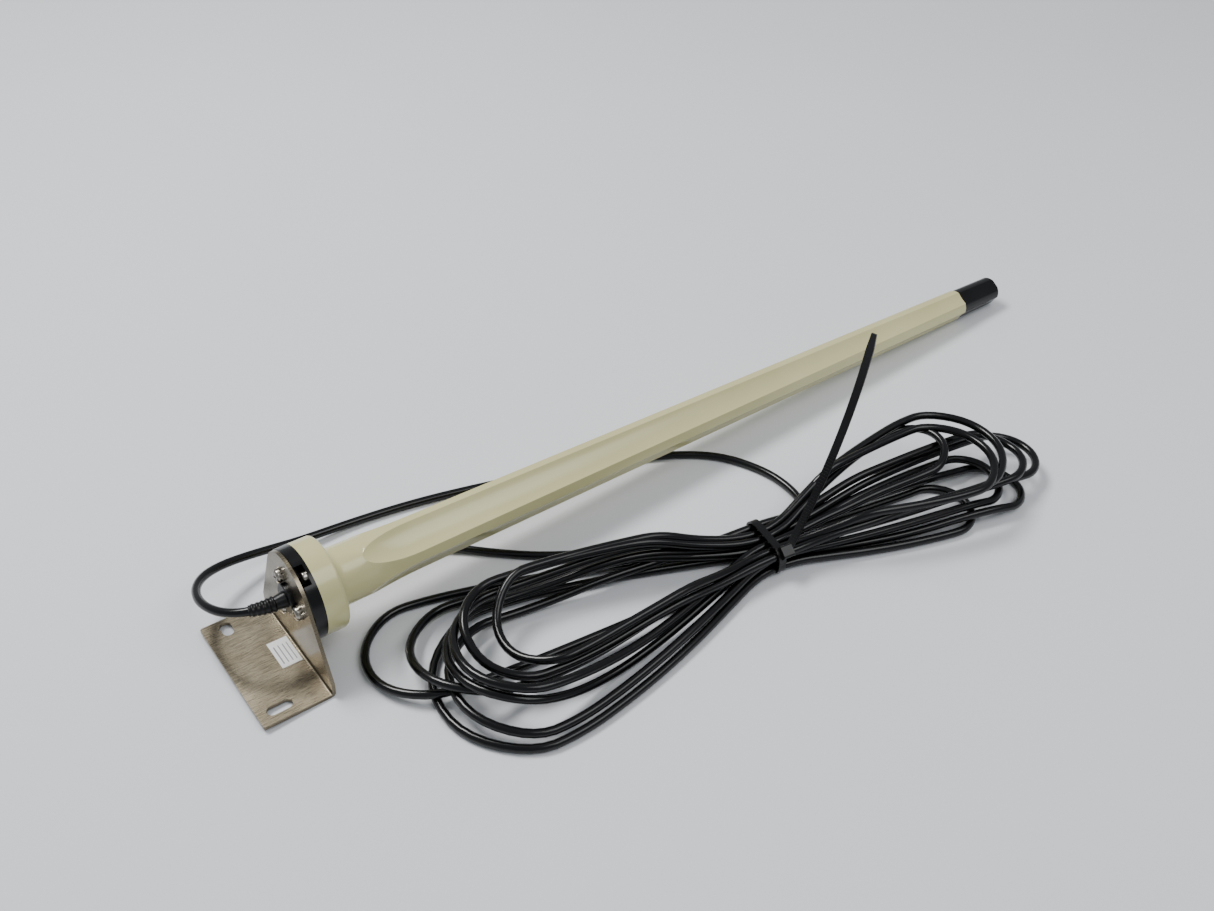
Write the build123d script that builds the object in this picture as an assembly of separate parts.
"""Bracket-mounted omnidirectional antenna with a captive coax cable, lying on a flat surface.

Every piece of the antenna is drawn about its own axis: X runs from the bracket to the tip, the
bracket's plate has its underside on Z = 0, and X = 0 is where the bracket's upright meets the base.
The finished antenna is tipped nose down until the bend and the tip both touch the surface.
The cable is drawn straight on the surface, measured from the middle of the bracket's bend.
All sizes are in millimetres.
"""
import os
from math import acos, atan2, cos, degrees, hypot, pi, radians, sin, tan

from build123d import *

# ---- overall sizes ---------------------------------------------------------------------------
TOTAL_LENGTH = 557.0         # back of the base to the tip of the cap
AXIS_HEIGHT = 38.9           # antenna axis above the plate's underside

# ---- bracket ---------------------------------------------------------------------------------
SHEET = 2.0                  # stainless sheet
PLATE_LENGTH = 40.0          # along the antenna, outside of the bend included
PLATE_WIDTH = 82.0
BEND_OUTER = 3.0
LEG_TOP_RADIUS = 25.0
LEG_TOP_HEIGHT = 65.0
LEG_SHOULDER = 9.0           # height at which the upright starts to narrow
SLOT_WIDTH = 6.4             # for M6 bolts
SLOT_LENGTH = 14.0           # slot along the antenna
CROSS_SLOT_LENGTH = 10.5     # slot across it
MOUNT_SPACING = 66.0         # slot to slot, across the plate
MOUNT_SETBACK = 27.8         # slot centres, from the upright's face

# ---- base ------------------------------------------------------------------------------------
BASE_RADIUS = 26.2
DISC_THICKNESS = 7.0
SPIGOT_RADIUS = 18.8
SPIGOT_LENGTH = 4.0
NOTCH_WIDTH = 12.0
NOTCH_FLOOR = 17.3           # notch floor, from the axis
NOTCH_WEB = 2.0              # disc left under each rim screw
NOTCH_TURN = 118.0           # first notch, from +Y towards +Z
RIM_SCREW_CIRCLE = 22.2      # radius
RIM_SCREW_RADIUS = 1.5       # M3
RIM_HEAD_RADIUS = 3.1
RIM_HEAD_HEIGHT = 2.6
SEAL_CORD = 0.8              # radius of the O-ring's section
SEAL_FIT = 0.2               # spigot to flange recess, on the radius

# ---- radome and cap --------------------------------------------------------------------------
FLANGE_LENGTH = 13.0
FLANGE_ROUND = 2.0
TUBE_FLARE = 6.0             # radius where the tube leaves the flange
TUBE_BASE_RADIUS = 16.5
TAPER = 0.0118               # radius lost per millimetre of length
CAP_LENGTH = 38.0            # the part of the cap that shows
CAP_STEP = 0.5               # cap sits this far inside the radome's end, on the radius
CAP_ROUND = 1.8
CAP_SPIGOT = 12.0
CAP_WALL = 1.4
BORE_BASE_RADIUS = 9.6
BORE_TAPER = 0.0053
BORE_FIT = 0.1               # spigots and spacers in the bore, on the radius

FLUTES = 4
FLUTE_TURN = 32.0            # first flute, from +Y towards +Z
FLUTE_RADIUS = 25.0          # hollow of each flute
FLUTE_START = 70.0           # where a flute reaches its full depth
FLUTE_RUNOUT = 55.0          # half length of the rounded end
FLUTE_FLOOR_BASE = 11.4      # flute floor from the axis, at FLUTE_START
FLUTE_FLOOR_TAPER = 0.0053

# ---- fasteners -------------------------------------------------------------------------------
SCREW_RADIUS = 2.0           # M4
SCREW_CLEARANCE = 0.25
LEG_SCREW_CIRCLE = 13.0
LEG_SCREWS = 3
LEG_SCREW_TURN = 60.0        # first screw, from +Y towards +Z
PAN_HEAD_RADIUS = 3.8
PAN_HEAD_HEIGHT = 2.6
WASHER_RADIUS = 4.2
WASHER_THICKNESS = 0.8
INSERT_RADIUS = 2.8
INSERT_LENGTH = 8.0
RIM_SCREW_GRIP = 9.0         # rim screw thread in the flange

# ---- cable and gland -------------------------------------------------------------------------
COAX_RADIUS = 2.5
GLAND_HUB_RADIUS = 8.8
GLAND_HUB_LENGTH = 2.5
GLAND_NOSE_RADIUS = 4.6
GLAND_TIP_RADIUS = 3.7
GLAND_NOSE_LENGTH = 5.5
GLAND_SHANK_RADIUS = 3.9
GLAND_CLEARANCE = 0.2
LOCKNUT_ACROSS_FLATS = 13.0
LOCKNUT_LENGTH = 4.0

# ---- inside the radome -----------------------------------------------------------------------
BOARD_WIDTH = 10.0
BOARD_THICKNESS = 0.8
BOARD_START = 40.0
BOARD_TIP_GAP = 7.0          # board end to the cap's spigot
COPPER = 0.08
COAX_END = 56.0              # where the cable's jacket is cut back
DIPOLE_ARM = 36.0
DIPOLE_GAP = 3.0
DIPOLES = 4
BEAD_RADIUS = 4.7
BEAD_LENGTH = 10.0
BEADS = 2
SPACER_LENGTH = 6.0
SPACERS = 4
BOARD_FIT = 0.1              # slot in each spacer, all round the board
PAD_LENGTH = 5.0

# ---- label -----------------------------------------------------------------------------------
LABEL_LENGTH = 11.4
LABEL_WIDTH = 20.5
LABEL_THICKNESS = 0.15
LABEL_SETBACK = 9.6

# ---- connector (SMA plug) --------------------------------------------------------------------
SLEEVE_RADIUS = 3.7
FERRULE_RADIUS = 3.2
FERRULE_BORE = 2.6
SLEEVE_TAPER_LENGTH = 5.0
FERRULE_LENGTH = 12.0
COLLAR_RADIUS = 3.8
COLLAR_LENGTH = 3.0
NECK_RADIUS = 2.8
NECK_LENGTH = 4.0
BARREL_RADIUS = 2.3
BARREL_BORE = 2.05
BARREL_LENGTH = 2.5
PIN_RADIUS = 0.46
PIN_REACH = 2.2              # pin beyond the barrel
NUT_ACROSS_FLATS = 8.0
NUT_LENGTH = 9.6
NUT_GAP = 0.3                # nut to collar
NUT_CLEARANCE = 0.07         # nut bore to neck, on the radius
RING_GROOVE = 0.3            # depth of the neck's groove
RING_THICKNESS = 0.7
RING_SETBACK = 1.6           # ring, from the collar

# ---- hank and tie ----------------------------------------------------------------------------
WAIST = (245.0, -100.0)      # where the tie holds the hank
HANK_TURN = -9.5             # hank's long axis, from +X
WAIST_WIDTH = 33.0
WAIST_HEIGHT = 16.0
WAIST_ROUND = 6.0
WAIST_REACH = 34.0
WAIST_LIFT = 1.4             # room for the tie under the hank
TIE_THICKNESS = 1.2
TIE_WIDTH = 4.6
TIE_HEAD = (7.0, 7.5, 5.6)
TIE_TAIL_RISE = 113.0
TIE_TAIL_RUN = 68.0
TIE_TAIL_TURN = 14.0         # from +X
TIE_TAIL_BOW = 8.0
TIE_TAIL_TIP = 9.0           # length over which its end narrows
TIE_TIP_WIDTH = 2.2
TIE_HEAD_OFFSET = 3.0        # head, from the waist towards the tip
LEFT_HEIGHT = 26.0
RIGHT_HEIGHT = 38.0
LOBE_ROUND = 9.0
# hank outlines: along the hank from the tie, then across it
LEFT_OUTLINE = [(-12, 16), (-70, 36), (-150, 50), (-205, 57), (-235, 30), (-229, -2), (-212, -42),
                (-190, -65), (-160, -69), (-95, -50), (-12, -16)]
RIGHT_OUTLINE = [(26, -19), (80, -41), (150, -37), (173, -32), (193, -13), (193, 6), (168, 24),
                 (152, 43), (118, 45), (60, 33), (26, 19)]

# cable from the gland to the hank, from the middle of the bend: X, Y, Z
LEAD_ROUTE = [(-27.0, 2.9, 39.0), (-37.0, 11.0, 37.2), (-42.5, 22.7, 34.3), (-42.3, 35.6, 30.8),
              (-36.4, 47.1, 26.9), (-26.5, 55.4, 22.7), (-12.7, 61.2, 18.2), (7.0, 65.6, 12.4),
              (35.0, 69.0, 5.8), (68.9, 68.2, 2.8), (103.8, 61.0, 2.5), (138.3, 51.0, 2.5),
              (171.0, 39.5, 2.5), (203.0, 27.5, 2.5), (234.0, 14.5, 2.5), (262.0, -0.5, 2.5),
              (283.0, -19.0, 2.5), (295.0, -46.0, 2.5), (298.5, -68.0, 2.5), (298.5, -85.0, 2.5)]
LEAD_FIRST_RUN = 6.95
# cable from the hank to the connector
TAIL_ROUTE = [(212.0, -67.0, 3.2), (191.0, -54.0, 2.5), (166.0, -39.5, 2.5), (141.0, -23.5, 2.5),
              (121.0, -5.0, 2.5), (104.0, 13.0, 2.6), (85.0, 27.0, 3.6), (67.0, 33.4, 4.9),
              (50.0, 34.5, 4.9)]

# ---- sizes that follow -----------------------------------------------------------------------
FLANGE_START = DISC_THICKNESS
TUBE_START = FLANGE_START + FLANGE_LENGTH
RADOME_END = TOTAL_LENGTH - CAP_LENGTH
RECESS_RADIUS = SPIGOT_RADIUS + SEAL_FIT
RECESS_END = DISC_THICKNESS + SPIGOT_LENGTH + 0.5
LEG_BACK = -SHEET
GLAND_TIP = LEG_BACK - GLAND_HUB_LENGTH - GLAND_NOSE_LENGTH
LOCKNUT_START = DISC_THICKNESS + SPIGOT_LENGTH
CAP_BORE_END = RADOME_END - CAP_SPIGOT
BOARD_END = CAP_BORE_END - BOARD_TIP_GAP
BOARD_TOP = -COAX_RADIUS
BOARD_BOTTOM = BOARD_TOP - BOARD_THICKNESS


def tube_radius(station):
    return TUBE_BASE_RADIUS - TAPER * (station - TUBE_START)


def bore_radius(station):
    return BORE_BASE_RADIUS - BORE_TAPER * (station - TUBE_START)


# ---- shapes about the X axis -----------------------------------------------------------------
def rod(radius, start, end):
    """Round bar along X."""
    bar = Cylinder(radius, end - start, align=(Align.CENTER, Align.CENTER, Align.MIN))
    return Pos(start, 0, 0) * Rot(0, 90, 0) * bar


def tube(outer, inner, start, end):
    return rod(outer, start, end) - rod(inner, start - 1, end + 1)


def turned(*points):
    """Solid of revolution about X, from its outline as (station, radius) points."""
    return revolve(make_face(Polyline(*points, close=True)), Axis.X)


def hexagon(across_flats, start, end):
    prism = extrude(RegularPolygon(across_flats / 2, 6, major_radius=False), end - start)
    return Pos(start, 0, 0) * Rot(0, 90, 0) * prism


def around(solid, count, first_turn, radius):
    """Copies of a solid on a circle about X; first_turn runs from +Y towards +Z."""
    return [Rot(first_turn + 360 / count * i, 0, 0) * Pos(0, radius, 0) * solid for i in range(count)]


def joined(solids):
    return Compound(children=[s.solid() if hasattr(s, "solid") else s for s in solids])


# ---- radome and cap --------------------------------------------------------------------------
def flute_cutters(inset):
    """Long round-ended cutters, set in by inset, that hollow the flutes of the tube and the cap."""
    far_end = TOTAL_LENGTH + 30
    nose = EllipticalCenterArc((FLUTE_START, 0), FLUTE_RUNOUT, FLUTE_RADIUS, 90, arc_size=90)
    sides = Polyline((FLUTE_START - FLUTE_RUNOUT, 0), (far_end, 0), (far_end, FLUTE_RADIUS),
                     (FLUTE_START, FLUTE_RADIUS))
    cutter = revolve(make_face(nose + sides), Axis.X)
    lean = degrees(atan2(FLUTE_FLOOR_TAPER, 1))
    leaning = Pos(FLUTE_START, 0, 0) * Rot(0, 0, -lean) * Pos(-FLUTE_START, 0, 0) * cutter
    return around(leaning, FLUTES, FLUTE_TURN, FLUTE_FLOOR_BASE - inset + FLUTE_RADIUS)


def radome():
    outline = Polyline((FLANGE_START, 0), (FLANGE_START, BASE_RADIUS), (TUBE_START, BASE_RADIUS),
                       (TUBE_START, tube_radius(TUBE_START)), (RADOME_END, tube_radius(RADOME_END)),
                       (RADOME_END, 0), close=True)
    face = make_face(outline)
    rim = face.vertices().sort_by_distance((TUBE_START, BASE_RADIUS))[0]
    face = fillet(rim, FLANGE_ROUND)
    root = face.vertices().sort_by_distance((TUBE_START, tube_radius(TUBE_START)))[0]
    face = fillet(root, TUBE_FLARE)
    nose = face.vertices().sort_by_distance((RADOME_END, tube_radius(RADOME_END)))[0]
    face = fillet(nose, 0.5)
    body = revolve(face, Axis.X)
    for cutter in flute_cutters(0):
        body -= cutter
    bore = turned((RECESS_END - 1, 0), (RECESS_END - 1, bore_radius(RECESS_END - 1)),
                  (RADOME_END + 1, bore_radius(RADOME_END + 1)), (RADOME_END + 1, 0))
    body -= bore
    body -= rod(RECESS_RADIUS, FLANGE_START - 1, RECESS_END)
    thread = rod(RIM_SCREW_RADIUS, FLANGE_START - 1, FLANGE_START + RIM_SCREW_GRIP + 1)
    for hole in around(thread, 3, NOTCH_TURN, RIM_SCREW_CIRCLE):
        body -= hole
    return body


def end_cap():
    start_radius = tube_radius(RADOME_END) - CAP_STEP
    end_radius = tube_radius(TOTAL_LENGTH) - CAP_STEP
    face = make_face(Polyline((RADOME_END, 0), (RADOME_END, start_radius), (TOTAL_LENGTH, end_radius),
                              (TOTAL_LENGTH, 0), close=True))
    corner = face.vertices().sort_by_distance((TOTAL_LENGTH, end_radius))[0]
    body = revolve(fillet(corner, CAP_ROUND), Axis.X)
    for cutter in flute_cutters(CAP_STEP):
        body -= cutter
    spigot_radius = bore_radius(RADOME_END) - BORE_FIT
    body += rod(spigot_radius, CAP_BORE_END, RADOME_END)
    body -= rod(spigot_radius - CAP_WALL, CAP_BORE_END - 1, TOTAL_LENGTH - 2 * CAP_WALL)
    return body


# ---- base ------------------------------------------------------------------------------------
def base_disc():
    body = rod(BASE_RADIUS, 0, DISC_THICKNESS) + rod(SPIGOT_RADIUS, 0, DISC_THICKNESS + SPIGOT_LENGTH)
    body = chamfer(body.edges().filter_by(GeomType.CIRCLE).group_by(Axis.X)[0], 0.5)
    body -= rod(GLAND_SHANK_RADIUS + GLAND_CLEARANCE, -1, LOCKNUT_START + 1)
    notch_depth = DISC_THICKNESS - NOTCH_WEB
    notch = Box(notch_depth + 1, BASE_RADIUS - NOTCH_FLOOR + 1, NOTCH_WIDTH,
                align=(Align.MAX, Align.MIN, Align.CENTER))
    notch = Pos(notch_depth, 0, 0) * notch
    clearance_hole = rod(RIM_SCREW_RADIUS + SCREW_CLEARANCE, 0, DISC_THICKNESS + 1)
    for cut in around(notch, 3, NOTCH_TURN, NOTCH_FLOOR):
        body -= cut
    for cut in around(clearance_hole, 3, NOTCH_TURN, RIM_SCREW_CIRCLE):
        body -= cut
    for cut in around(rod(INSERT_RADIUS, -1, INSERT_LENGTH), LEG_SCREWS, LEG_SCREW_TURN, LEG_SCREW_CIRCLE):
        body -= cut
    groove_start, groove_end = seal_groove()
    body -= tube(SPIGOT_RADIUS + 1, RECESS_RADIUS - 2 * SEAL_CORD, groove_start, groove_end)
    return body


def seal_groove():
    middle = DISC_THICKNESS + SPIGOT_LENGTH / 2
    return middle - SEAL_CORD - 0.1, middle + SEAL_CORD + 0.1


def base_seal():
    ring = Torus(RECESS_RADIUS - SEAL_CORD, SEAL_CORD)
    return Pos(sum(seal_groove()) / 2, 0, 0) * Rot(0, 90, 0) * ring


def disc_inserts():
    insert = tube(INSERT_RADIUS, SCREW_RADIUS, 0, INSERT_LENGTH)
    return joined(around(insert, LEG_SCREWS, LEG_SCREW_TURN, LEG_SCREW_CIRCLE))


def rim_screws():
    head_end = DISC_THICKNESS - NOTCH_WEB
    head_start = head_end - RIM_HEAD_HEIGHT
    head = rod(RIM_HEAD_RADIUS, head_start, head_end)
    head = fillet(head.edges().group_by(Axis.X)[0], 1.0)
    screw = head + rod(RIM_SCREW_RADIUS, head_end, FLANGE_START + RIM_SCREW_GRIP)
    for turn in (0, 90):
        screw -= Pos(head_start, 0, 0) * Rot(turn, 0, 0) * Box(2.0, 2.8, 0.6)
    return joined(around(screw, 3, NOTCH_TURN, RIM_SCREW_CIRCLE))


# ---- bracket and its fasteners ---------------------------------------------------------------
def bracket():
    plate = Box(PLATE_LENGTH, PLATE_WIDTH, SHEET, align=(Align.MAX, Align.CENTER, Align.MIN))
    top_centre = LEG_TOP_HEIGHT - LEG_TOP_RADIUS
    corner = (PLATE_WIDTH / 2, LEG_SHOULDER)
    reach = hypot(corner[0], top_centre - corner[1])
    lean = atan2(top_centre - corner[1], -corner[0]) - acos_side(LEG_TOP_RADIUS, reach)
    along = (reach ** 2 - LEG_TOP_RADIUS ** 2) ** 0.5
    touch = (corner[0] + along * cos(lean), corner[1] + along * sin(lean))
    sides = Polyline((-touch[0], touch[1]), (-corner[0], corner[1]), (-corner[0], 0), (corner[0], 0),
                     corner, touch)
    crown = ThreePointArc(touch, (0, LEG_TOP_HEIGHT), (-touch[0], touch[1]))
    leg = extrude(Plane.YZ * make_face(sides + crown), -SHEET)
    body = plate + leg
    outer = body.edges().filter_by(Axis.Y).sort_by_distance((0, 0, 0))[0]
    body = fillet(outer, BEND_OUTER)
    inner = body.edges().filter_by(Axis.Y).sort_by_distance((-SHEET, 0, SHEET))[0]
    body = fillet(inner, BEND_OUTER - SHEET)
    free_corners = body.edges().filter_by(Axis.Z).group_by(Axis.X)[0]
    body = fillet(free_corners, 1.5)
    upright_holes = [rod(GLAND_SHANK_RADIUS + GLAND_CLEARANCE, -SHEET - 1, 1)]
    upright_holes += around(rod(SCREW_RADIUS + SCREW_CLEARANCE, -SHEET - 1, 1), LEG_SCREWS,
                            LEG_SCREW_TURN, LEG_SCREW_CIRCLE)
    for hole in upright_holes:
        body -= Pos(0, 0, AXIS_HEIGHT) * hole
    cross_slot = extrude(SlotOverall(CROSS_SLOT_LENGTH, SLOT_WIDTH, rotation=90), 2 * SHEET, both=True)
    body -= Pos(-MOUNT_SETBACK, MOUNT_SPACING / 2, 0) * cross_slot
    slot = extrude(SlotOverall(SLOT_LENGTH, SLOT_WIDTH), 2 * SHEET, both=True)
    body -= Pos(-MOUNT_SETBACK, -MOUNT_SPACING / 2, 0) * slot
    return body


def acos_side(opposite, slant):
    """Angle at the corner of a tangent line to a circle of that radius, slant away."""
    return pi / 2 - acos(opposite / slant)


def bracket_screws():
    head_start = LEG_BACK - WASHER_THICKNESS - PAN_HEAD_HEIGHT
    head = rod(PAN_HEAD_RADIUS, head_start, head_start + PAN_HEAD_HEIGHT)
    head = fillet(head.edges().group_by(Axis.X)[0], 1.6)
    screw = head + rod(SCREW_RADIUS, head_start + PAN_HEAD_HEIGHT, INSERT_LENGTH - 0.5)
    for turn in (0, 90):
        screw -= Pos(head_start, 0, 0) * Rot(turn, 0, 0) * Box(2.8, 3.8, 0.8)
    return joined(around(screw, LEG_SCREWS, LEG_SCREW_TURN, LEG_SCREW_CIRCLE))


def star_washers():
    washer = tube(WASHER_RADIUS, SCREW_RADIUS + 0.15, LEG_BACK - WASHER_THICKNESS, LEG_BACK)
    teeth = 10
    gap = Rot(45, 0, 0) * Box(4, 1.1, 1.1)
    for cut in around(gap, teeth, 0, WASHER_RADIUS):
        washer -= Pos(LEG_BACK, 0, 0) * cut
    return joined(around(washer, LEG_SCREWS, LEG_SCREW_TURN, LEG_SCREW_CIRCLE))


def rating_label():
    sticker = Box(LABEL_LENGTH, LABEL_WIDTH, LABEL_THICKNESS, align=(Align.CENTER, Align.CENTER, Align.MIN))
    return Pos(-LABEL_SETBACK, 0, SHEET) * sticker


# ---- gland -----------------------------------------------------------------------------------
def cable_gland():
    nose_start = LEG_BACK - GLAND_HUB_LENGTH
    hub = rod(GLAND_HUB_RADIUS, nose_start, LEG_BACK)
    hub = fillet(hub.edges().group_by(Axis.X)[0], 0.8)
    nose = turned((nose_start, 0), (nose_start, GLAND_NOSE_RADIUS), (GLAND_TIP, GLAND_TIP_RADIUS),
                  (GLAND_TIP, 0))
    shank = rod(GLAND_SHANK_RADIUS, LEG_BACK, LOCKNUT_START + LOCKNUT_LENGTH)
    return hub + nose + shank - rod(COAX_RADIUS, GLAND_TIP - 1, TUBE_START + 1)


def gland_locknut():
    nut = hexagon(LOCKNUT_ACROSS_FLATS, LOCKNUT_START, LOCKNUT_START + LOCKNUT_LENGTH)
    return nut - rod(GLAND_SHANK_RADIUS, LOCKNUT_START - 1, LOCKNUT_START + LOCKNUT_LENGTH + 1)


# ---- inside the radome -----------------------------------------------------------------------
def feed_coax():
    dielectric_end = COAX_END + 2.5
    core_end = COAX_END + 5.0
    return rod(COAX_RADIUS, GLAND_TIP, COAX_END) + rod(1.45, COAX_END, dielectric_end) \
        + rod(0.45, dielectric_end, core_end)


def ferrite_beads():
    first = LOCKNUT_START + LOCKNUT_LENGTH + 1.5
    beads = [tube(BEAD_RADIUS, COAX_RADIUS, first + i * (BEAD_LENGTH + 0.5),
                  first + i * (BEAD_LENGTH + 0.5) + BEAD_LENGTH) for i in range(BEADS)]
    return joined(beads)


def radiator_board():
    board = Box(BOARD_END - BOARD_START, BOARD_WIDTH, BOARD_THICKNESS,
                align=(Align.MIN, Align.CENTER, Align.MAX))
    return Pos(BOARD_START, 0, BOARD_TOP) * board


def dipole_stations():
    reach = DIPOLE_ARM + DIPOLE_GAP / 2
    first = COAX_END + 8 + reach
    last = BOARD_END - 2 - reach
    return [first + (last - first) * i / (DIPOLES - 1) for i in range(DIPOLES)]


def radiator_traces():
    """Dipole arms on the board's face and the feed line on its back."""
    top = (Align.CENTER, Align.CENTER, Align.MIN)
    arm = Box(DIPOLE_ARM, BOARD_WIDTH - 2, COPPER, align=top)
    offset = (DIPOLE_ARM + DIPOLE_GAP) / 2
    arms = [Pos(x + side * offset, 0, BOARD_TOP) * arm for x in dipole_stations() for side in (-1, 1)]
    line_length = dipole_stations()[-1] - COAX_END
    line = Box(line_length, 1.6, COPPER, align=(Align.MIN, Align.CENTER, Align.MAX))
    pad = Box(5, 4, COPPER, align=top)
    return joined(arms + [Pos(COAX_END, 0, BOARD_BOTTOM) * line, Pos(COAX_END + 4, 0, BOARD_TOP) * pad])


def feed_solder():
    """Solder joint between the cable's core and the board's pad."""
    foot = BOARD_TOP + COPPER
    blob = Cone(1.7, 0.9, 0.6 - foot, align=(Align.CENTER, Align.CENTER, Align.MIN))
    return Pos(COAX_END + 4.6, 0, foot) * blob - feed_coax()


def board_spacers():
    first = BOARD_START + 25
    pitch = (BOARD_END - 20 - first) / (SPACERS - 1)
    slot = Box(TOTAL_LENGTH, BOARD_WIDTH + 2 * BOARD_FIT, BOARD_THICKNESS + 2 * (COPPER + BOARD_FIT))
    slot = Pos(TOTAL_LENGTH / 2, 0, (BOARD_TOP + BOARD_BOTTOM) / 2) * slot
    spacers = []
    for i in range(SPACERS):
        start = first + i * pitch
        radius = bore_radius(start + SPACER_LENGTH) - BORE_FIT
        spacers.append(rod(radius, start, start + SPACER_LENGTH) - slot)
    return joined(spacers)


def tip_pad():
    end = CAP_BORE_END - 0.5
    return rod(bore_radius(end) - BORE_FIT, end - PAD_LENGTH, end)


# ---- connector, along +X from the cable's end ------------------------------------------------
SLEEVE_END = SLEEVE_TAPER_LENGTH + FERRULE_LENGTH
COLLAR_END = SLEEVE_END + COLLAR_LENGTH
NECK_END = COLLAR_END + NECK_LENGTH
BARREL_END = NECK_END + BARREL_LENGTH
RING_START = COLLAR_END + RING_SETBACK


def strain_sleeve():
    shell = turned((0, 0), (0, COAX_RADIUS + 0.4), (SLEEVE_TAPER_LENGTH, SLEEVE_RADIUS),
                   (SLEEVE_END, SLEEVE_RADIUS), (SLEEVE_END, 0))
    return shell - rod(FERRULE_RADIUS, SLEEVE_TAPER_LENGTH, SLEEVE_END + 1)


def crimp_ferrule():
    return tube(FERRULE_RADIUS, FERRULE_BORE, SLEEVE_TAPER_LENGTH, SLEEVE_END)


def connector_body():
    body = rod(FERRULE_BORE, SLEEVE_TAPER_LENGTH, SLEEVE_END)
    body += chamfer(rod(COLLAR_RADIUS, SLEEVE_END, COLLAR_END).edges().filter_by(GeomType.CIRCLE), 0.3)
    body += rod(NECK_RADIUS, COLLAR_END, NECK_END)
    body -= tube(NECK_RADIUS + 1, NECK_RADIUS - RING_GROOVE, RING_START, RING_START + RING_THICKNESS)
    body += rod(BARREL_RADIUS, NECK_END, BARREL_END)
    body -= rod(BARREL_BORE, NECK_END - 1, BARREL_END + 1)
    return body - rod(PIN_RADIUS, COLLAR_END, NECK_END)


def dielectric_bush():
    return tube(BARREL_BORE, PIN_RADIUS, NECK_END - 1, BARREL_END)


def centre_pin():
    return chamfer(rod(PIN_RADIUS, COLLAR_END, BARREL_END + PIN_REACH).edges().group_by(Axis.X)[-1], 0.2)


def snap_ring():
    ring = tube(NECK_RADIUS + RING_GROOVE, NECK_RADIUS - RING_GROOVE, RING_START + 0.05,
                RING_START + RING_THICKNESS - 0.05)
    return ring - Pos(RING_START, 0, NECK_RADIUS) * Box(3, 1.6, 3)


def coupling_nut():
    start = COLLAR_END + NUT_GAP
    end = start + NUT_LENGTH
    nut = hexagon(NUT_ACROSS_FLATS, start, end)
    round_end = turned((start, 0), (start, NUT_ACROSS_FLATS / 2), (start + 0.4, NUT_ACROSS_FLATS / 2 + 0.7),
                       (end - 0.4, NUT_ACROSS_FLATS / 2 + 0.7), (end, NUT_ACROSS_FLATS / 2), (end, 0))
    nut = nut & round_end
    nut -= rod(NECK_RADIUS + NUT_CLEARANCE, start - 1, end + 1)
    return nut - rod(NECK_RADIUS + RING_GROOVE + 0.15, RING_START - 0.3, RING_START + RING_THICKNESS + 0.3)


# ---- cable -----------------------------------------------------------------------------------
def turn_radii(route):
    radii = []
    for before, here, after in zip(route, route[1:], route[2:]):
        into, out = here - before, after - here
        turn = radians(into.get_angle(out))
        radii.append(0.45 * min(into.length, out.length) / tan(turn / 2))
    return radii


def cable_along(name, points):
    """Round cable whose straight runs are joined by arcs as large as the runs allow."""
    route = [Vector(*p) for p in points]
    radii = turn_radii(route)
    path = FilletPolyline(*route, radius=radii)
    section = Plane(route[0], z_dir=route[1] - route[0]) * Circle(COAX_RADIUS)
    cable = sweep(section, path)
    expected = pi * COAX_RADIUS ** 2 * path.length
    print(f"{name}: length {path.length:.0f}, volume {cable.volume / expected:.4f} of section x length,"
          f" tightest radius {min(radii):.1f}")
    print("   radii", [round(r) for r in radii])
    return cable


def hank_place():
    return Pos(WAIST[0], WAIST[1], 0) * Rot(0, 0, HANK_TURN)


def coax_hank(lead, tail):
    left = extrude(make_face(FilletPolyline(*LEFT_OUTLINE, radius=LOBE_ROUND, close=True)), LEFT_HEIGHT)
    right = extrude(make_face(FilletPolyline(*RIGHT_OUTLINE, radius=LOBE_ROUND, close=True)), RIGHT_HEIGHT)
    section = Plane.YZ * RectangleRounded(WAIST_WIDTH, WAIST_HEIGHT, WAIST_ROUND)
    waist = Pos(0, 0, WAIST_LIFT + WAIST_HEIGHT / 2) * extrude(section, WAIST_REACH, both=True)
    throat = Box(TIE_WIDTH * 4, 200, 100)
    lobes = left + right - throat
    return hank_place() * (lobes + waist) - lead - tail


def cable_tie():
    """Band round the hank's waist, its head, and the long tail that stands up from the head."""
    middle = Pos(0, 0, WAIST_LIFT + WAIST_HEIGHT / 2)
    outer = RectangleRounded(WAIST_WIDTH + 2 * TIE_THICKNESS, WAIST_HEIGHT + 2 * TIE_THICKNESS,
                             WAIST_ROUND + TIE_THICKNESS)
    inner = RectangleRounded(WAIST_WIDTH, WAIST_HEIGHT, WAIST_ROUND)
    band = middle * extrude(Plane.YZ * (outer - inner), TIE_WIDTH / 2, both=True)
    head_y = -WAIST_WIDTH / 2 + WAIST_ROUND / 2
    head_z = WAIST_LIFT + WAIST_HEIGHT + TIE_THICKNESS / 2
    head = Box(TIE_HEAD[0], TIE_HEAD[1], TIE_HEAD[2])
    head = fillet(head.edges().filter_by(Axis.X), 1.2)
    head = Pos(TIE_HEAD_OFFSET, head_y - 2, head_z - 1.0) * Rot(35, 0, 0) * head
    waist_solid = middle * extrude(Plane.YZ * inner, TIE_WIDTH * 2, both=True)
    tie = hank_place() * (band + (head - waist_solid))
    root = (hank_place() * Pos(TIE_HEAD_OFFSET, head_y - 2, head_z - 2)).position
    return tie + tie_tail(root)


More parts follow.
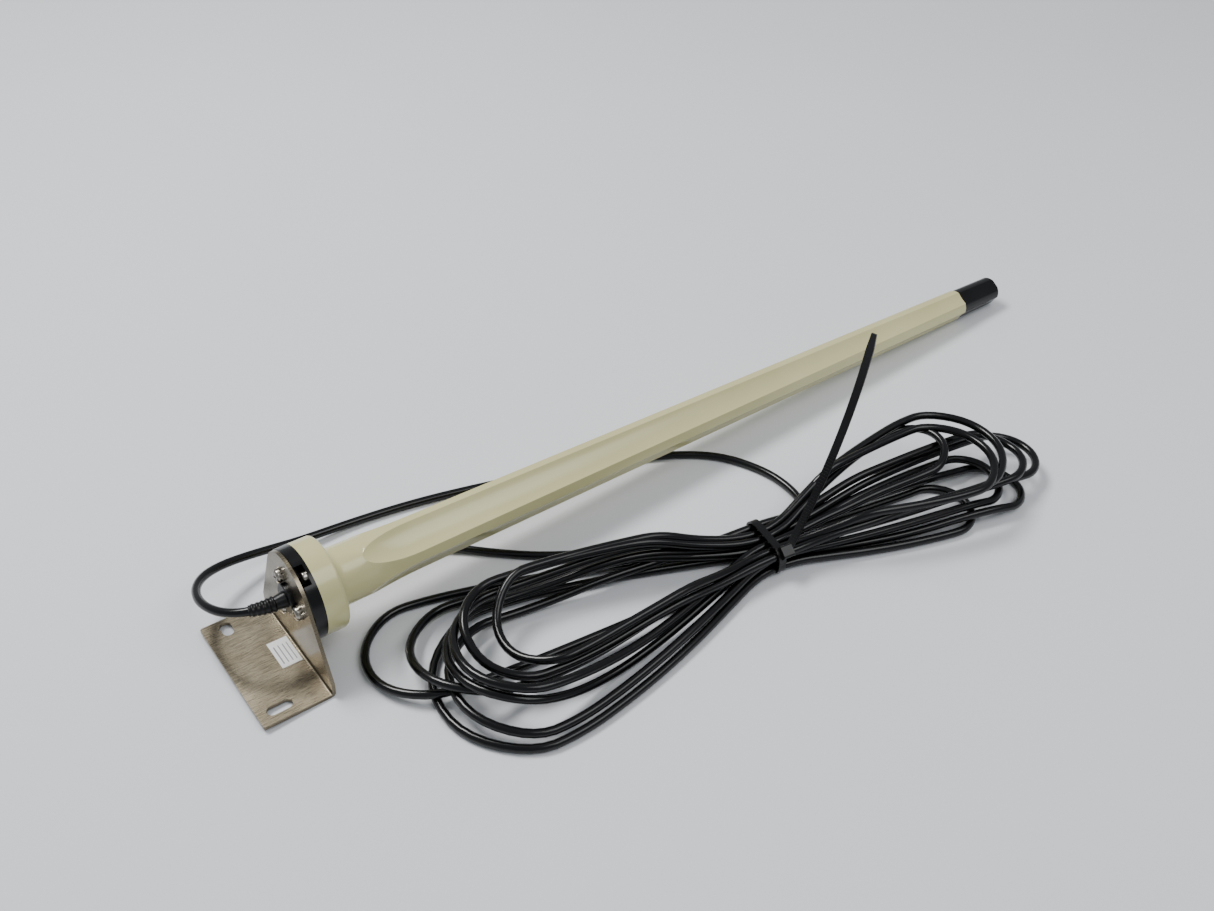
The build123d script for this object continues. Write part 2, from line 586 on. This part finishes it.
def tie_tail(root):
    start = (0, 0)
    end = (TIE_TAIL_RUN, TIE_TAIL_RISE)
    middle = (TIE_TAIL_RUN / 2 + TIE_TAIL_BOW, TIE_TAIL_RISE / 2 - TIE_TAIL_BOW)
    spine = ThreePointArc(start, middle, end)
    strip = trace(spine, TIE_THICKNESS)
    tail = extrude(Plane.XZ * strip, TIE_WIDTH / 2, both=True)
    slope = degrees(atan2(TIE_TAIL_RISE, TIE_TAIL_RUN))
    reach = hypot(TIE_TAIL_RISE, TIE_TAIL_RUN)
    side = make_face(Polyline((reach - TIE_TAIL_TIP, TIE_WIDTH / 2), (reach + 5, TIE_TIP_WIDTH / 2),
                              (reach + 5, TIE_WIDTH), (reach - TIE_TAIL_TIP, TIE_WIDTH), close=True))
    for half in (side, mirror(side, Plane.XZ)):
        tail -= Rot(0, -slope, 0) * extrude(half, 10, both=True)
    return Pos(root.X, root.Y, root.Z) * Rot(0, 0, TIE_TAIL_TURN) * tail


# ---- assembly --------------------------------------------------------------------------------
def resting_tilt():
    """Tip-down angle at which the bend and the rounded end of the cap touch the same surface."""
    cap_radius = tube_radius(TOTAL_LENGTH) - CAP_STEP
    round_centre = cap_radius - CAP_ROUND * ((1 + TAPER ** 2) ** 0.5 - TAPER)
    rise = AXIS_HEIGHT - round_centre - BEND_OUTER
    run = TOTAL_LENGTH - CAP_ROUND + BEND_OUTER
    return degrees(acos((CAP_ROUND - BEND_OUTER) / hypot(rise, run)) - atan2(run, rise))


def build():
    tilt = resting_tilt()
    t = radians(tilt)
    bend_lift = BEND_OUTER * (cos(t) + sin(t) - 1)
    lying = Pos(0, 0, -bend_lift) * Rot(0, tilt, 0)
    on_axis = lying * Pos(0, 0, AXIS_HEIGHT)

    antenna = {
        "radome": on_axis * radome(),
        "end_cap": on_axis * end_cap(),
        "base_disc": on_axis * base_disc(),
        "base_seal": on_axis * base_seal(),
        "disc_inserts": on_axis * disc_inserts(),
        "rim_screws": on_axis * rim_screws(),
        "bracket": lying * bracket(),
        "bracket_screws": on_axis * bracket_screws(),
        "star_washers": on_axis * star_washers(),
        "rating_label": lying * rating_label(),
        "cable_gland": on_axis * cable_gland(),
        "gland_locknut": on_axis * gland_locknut(),
        "feed_coax": on_axis * feed_coax(),
        "ferrite_beads": on_axis * ferrite_beads(),
        "radiator_board": on_axis * radiator_board(),
        "radiator_traces": on_axis * radiator_traces(),
        "feed_solder": on_axis * feed_solder(),
        "board_spacers": on_axis * board_spacers(),
        "tip_pad": on_axis * tip_pad(),
    }

    exit_point = (on_axis * Pos(GLAND_TIP, 0, 0)).position
    first_turn = (on_axis * Pos(GLAND_TIP - LEAD_FIRST_RUN, 0, 0)).position
    lead = cable_along("coax_lead", [exit_point, first_turn] + LEAD_ROUTE)
    tail = cable_along("coax_tail", TAIL_ROUTE)
    cable = {
        "coax_lead": lead,
        "coax_tail": tail,
        "coax_hank": coax_hank(lead, tail),
        "cable_tie": cable_tie(),
    }

    end = Vector(*TAIL_ROUTE[-1])
    heading = end - Vector(*TAIL_ROUTE[-2])
    at_plug = Location(Plane(end, x_dir=heading, z_dir=(0, 0, 1)))
    plug = {
        "strain_sleeve": strain_sleeve(),
        "crimp_ferrule": crimp_ferrule(),
        "connector_body": connector_body(),
        "dielectric_bush": dielectric_bush(),
        "centre_pin": centre_pin(),
        "snap_ring": snap_ring(),
        "coupling_nut": coupling_nut(),
    }
    plug = {name: at_plug * solid for name, solid in plug.items()}

    box = Compound(children=[copy_of(s) for s in antenna.values()]).bounding_box()
    centre = (box.min.X + box.max.X) / 2
    print(f"tilt {tilt:.3f}, bend lift {bend_lift:.4f}, bend at x {-centre:.3f}, lowest {box.min.Z:.4f}")
    shift = Pos(-centre, 0, 0)
    return {name: shift * solid for name, solid in {**antenna, **cable, **plug}.items()}, shift * at_plug


def copy_of(shape):
    return Pos(0, 0, 0) * shape


def main():
    os.makedirs("parts", exist_ok=True)
    pieces, plug_place = build()
    for name, shape in pieces.items():
        export_step(shape, f"parts/{name}.step")
    print("connector at", plug_place.position, plug_place.orientation)


main()
